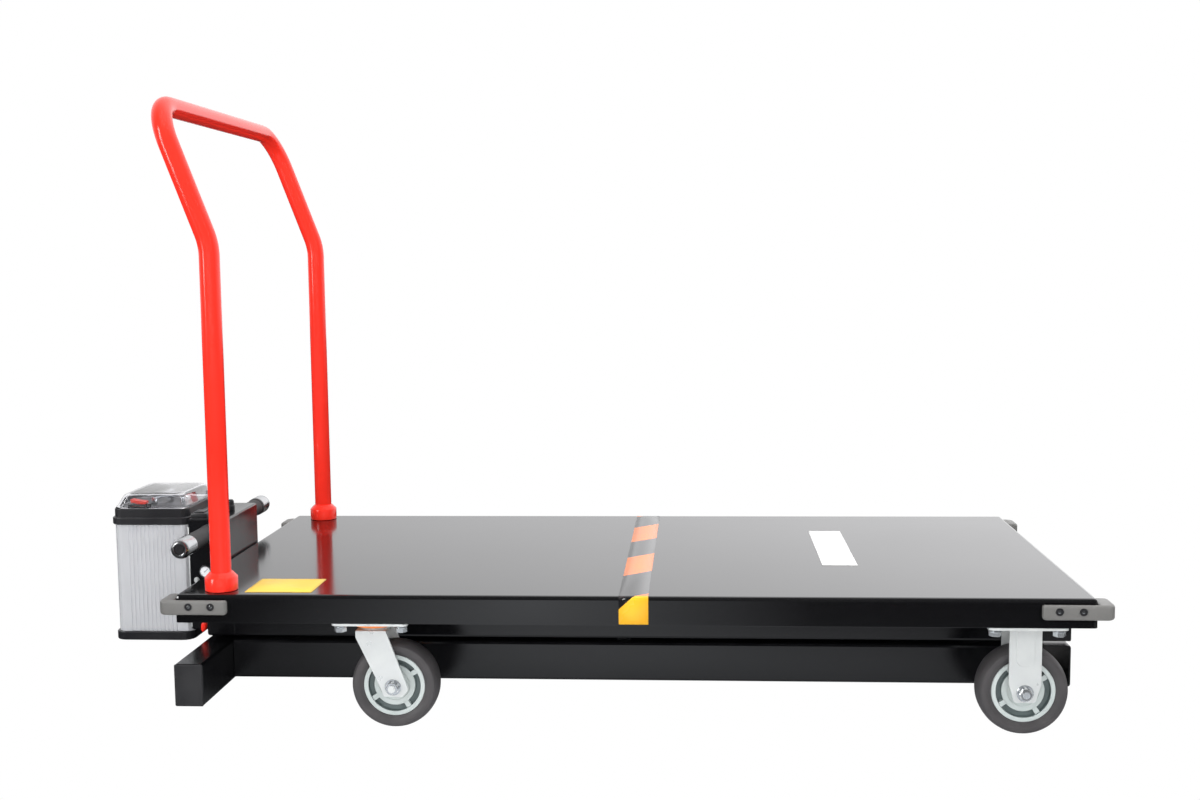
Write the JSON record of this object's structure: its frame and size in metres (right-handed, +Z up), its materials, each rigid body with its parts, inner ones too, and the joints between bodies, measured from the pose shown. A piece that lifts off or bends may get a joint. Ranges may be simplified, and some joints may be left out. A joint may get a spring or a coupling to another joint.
{
  "type": "electric lifting trolley",
  "caption": "Flat platform trolley with a push handle, swivel and fixed casters, a low scissor lift under the deck and a battery power unit behind it.",
  "frame": {"origin": "on the floor, at the middle of the whole length and width", "axes": "+X along the deck, away from the push handle; +Y to the left seen from the handle; +Z up"},
  "size_m": [1.695, 0.73, 1.0241],
  "materials": {
    "black_paint": "gloss black powder coat",
    "red_paint": "gloss red powder coat",
    "bumper_grey": "moulded grey",
    "zinc": "bright zinc plate",
    "tyre": "grey rubber",
    "hub_grey": "moulded grey",
    "steel": "machined",
    "aluminium": "anodised extrusion",
    "black_plastic": "satin moulded",
    "clear": "clear moulded polycarbonate",
    "switch_red": "moulded red",
    "grip_rubber": "knurled",
    "grip_metal": "gunmetal anodised",
    "gauge_white": "white dial"
  },
  "bodies": {
    "base": {"base_rail_left": "black_paint", "base_rail_right": "black_paint", "base_rear_beam": "black_paint", "base_front_beam": "black_paint", "beam_cap_left": "black_plastic", "beam_cap_right": "black_plastic", "base_pivot_shaft": "steel", "actuator_mount": "black_paint", "actuator_motor": "steel", "actuator_barrel": "aluminium"},
    "outer_arms": {"outer_arm_left": "black_paint", "outer_arm_right": "black_paint", "centre_shaft": "steel", "upper_roller_shaft": "steel"},
    "inner_arms": {"inner_arm_left": "black_paint", "inner_arm_right": "black_paint", "lower_roller_shaft": "steel"},
    "upper_roller_left": {"upper_roller_left": "steel"},
    "upper_roller_right": {"upper_roller_right": "steel"},
    "lower_roller_left": {"lower_roller_left": "steel"},
    "lower_roller_right": {"lower_roller_right": "steel"},
    "actuator_rod": {"actuator_rod": "steel"},
    "deck": {"deck_pan": "black_paint", "deck_frame": "black_paint", "upper_rail_left": "black_paint", "upper_rail_right": "black_paint", "upper_rear_beam": "black_paint", "deck_pivot_shaft": "steel", "push_handle": "red_paint", "bumper_front_left": "bumper_grey", "bumper_front_right": "bumper_grey", "bumper_rear_left": "bumper_grey", "bumper_rear_right": "bumper_grey", "swivel_plate_left": "zinc", "swivel_plate_right": "zinc", "rigid_fork_left": "zinc", "rigid_fork_right": "zinc", "battery_case": "aluminium", "case_top_cap": "black_plastic", "case_bottom_cap": "black_plastic", "control_box": "black_paint", "grip_bar": "grip_metal", "hand_grip_left": "grip_rubber", "hand_grip_right": "grip_rubber", "gauge": "gauge_white", "cable_gland": "black_plastic", "battery_pack": "switch_red"},
    "swivel_left": {"swivel_fork_left": "zinc"},
    "swivel_wheel_left": {"tyre_swivel_left": "tyre", "hub_swivel_left": "hub_grey"},
    "rigid_wheel_left": {"tyre_rigid_left": "tyre", "hub_rigid_left": "hub_grey"},
    "swivel_right": {"swivel_fork_right": "zinc"},
    "swivel_wheel_right": {"tyre_swivel_right": "tyre", "hub_swivel_right": "hub_grey"},
    "rigid_wheel_right": {"tyre_rigid_right": "tyre", "hub_rigid_right": "hub_grey"},
    "lid": {"clear_lid": "clear"},
    "rocker": {"switch_rocker": "switch_red"},
    "lever": {"release_lever": "red_paint"}
  },
  "joints": [
    {"name": "lift", "type": "hinge", "parent": "base", "child": "outer_arms", "pos_m": [-0.53245, 0, 0.0739], "axis": [0, -1, 0], "range_deg": [0, 35]},
    {"name": "arm_centre_pin", "type": "hinge", "parent": "outer_arms", "child": "inner_arms", "pos_m": [0.08155, 0, 0.1104], "axis": [0, -1, 0], "range_deg": [-70, 0]},
    {"name": "deck_pivot", "type": "hinge", "parent": "inner_arms", "child": "deck", "pos_m": [-0.53245, 0, 0.1469], "axis": [0, -1, 0], "range_deg": [0, 35]},
    {"name": "rod_eye", "type": "hinge", "parent": "inner_arms", "child": "actuator_rod", "pos_m": [0.69555, 0, 0.0739], "axis": [0, -1, 0], "range_deg": [0, 35]},
    {"name": "upper_roller_left_spin", "type": "hinge", "parent": "outer_arms", "child": "upper_roller_left", "pos_m": [0.69555, 0.163, 0.1469], "axis": [0, 1, 0], "continuous": true},
    {"name": "lower_roller_left_spin", "type": "hinge", "parent": "inner_arms", "child": "lower_roller_left", "pos_m": [0.69555, 0.163, 0.0739], "axis": [0, 1, 0], "continuous": true},
    {"name": "upper_roller_right_spin", "type": "hinge", "parent": "outer_arms", "child": "upper_roller_right", "pos_m": [0.69555, -0.163, 0.1469], "axis": [0, 1, 0], "continuous": true},
    {"name": "lower_roller_right_spin", "type": "hinge", "parent": "inner_arms", "child": "lower_roller_right", "pos_m": [0.69555, -0.163, 0.0739], "axis": [0, 1, 0], "continuous": true},
    {"name": "swivel_left_turn", "type": "hinge", "parent": "deck", "child": "swivel_left", "pos_m": [-0.31345, 0.303, 0.1764], "axis": [0, 0, 1], "continuous": true},
    {"name": "swivel_wheel_left_roll", "type": "hinge", "parent": "swivel_left", "child": "swivel_wheel_left", "pos_m": [-0.28145, 0.303, 0.0712], "axis": [0, 1, 0], "continuous": true},
    {"name": "rigid_wheel_left_roll", "type": "hinge", "parent": "deck", "child": "rigid_wheel_left", "pos_m": [0.71855, 0.303, 0.0712], "axis": [0, 1, 0], "continuous": true},
    {"name": "swivel_right_turn", "type": "hinge", "parent": "deck", "child": "swivel_right", "pos_m": [-0.31345, -0.303, 0.1764], "axis": [0, 0, 1], "continuous": true},
    {"name": "swivel_wheel_right_roll", "type": "hinge", "parent": "swivel_right", "child": "swivel_wheel_right", "pos_m": [-0.28145, -0.303, 0.0712], "axis": [0, 1, 0], "continuous": true},
    {"name": "rigid_wheel_right_roll", "type": "hinge", "parent": "deck", "child": "rigid_wheel_right", "pos_m": [0.71855, -0.303, 0.0712], "axis": [0, 1, 0], "continuous": true},
    {"name": "lid_hinge", "type": "hinge", "parent": "deck", "child": "lid", "pos_m": [-0.84155, 0, 0.3165], "axis": [0, -1, 0], "range_deg": [0, 88]},
    {"name": "switch_tilt", "type": "hinge", "parent": "deck", "child": "rocker", "pos_m": [-0.79905, -0.056, 0.3262], "axis": [0, -1, 0], "range_deg": [0, 12]},
    {"name": "lever_pull", "type": "hinge", "parent": "deck", "child": "lever", "pos_m": [-0.64545, -0.16, 0.1467], "axis": [0, 1, 0], "range_deg": [0, 30]}
  ],
  "couplings": [
    {"joint": "arm_centre_pin", "follows": "lift", "ratio": -2},
    {"joint": "deck_pivot", "follows": "lift", "ratio": 1},
    {"joint": "rod_eye", "follows": "lift", "ratio": 1}
  ]
}
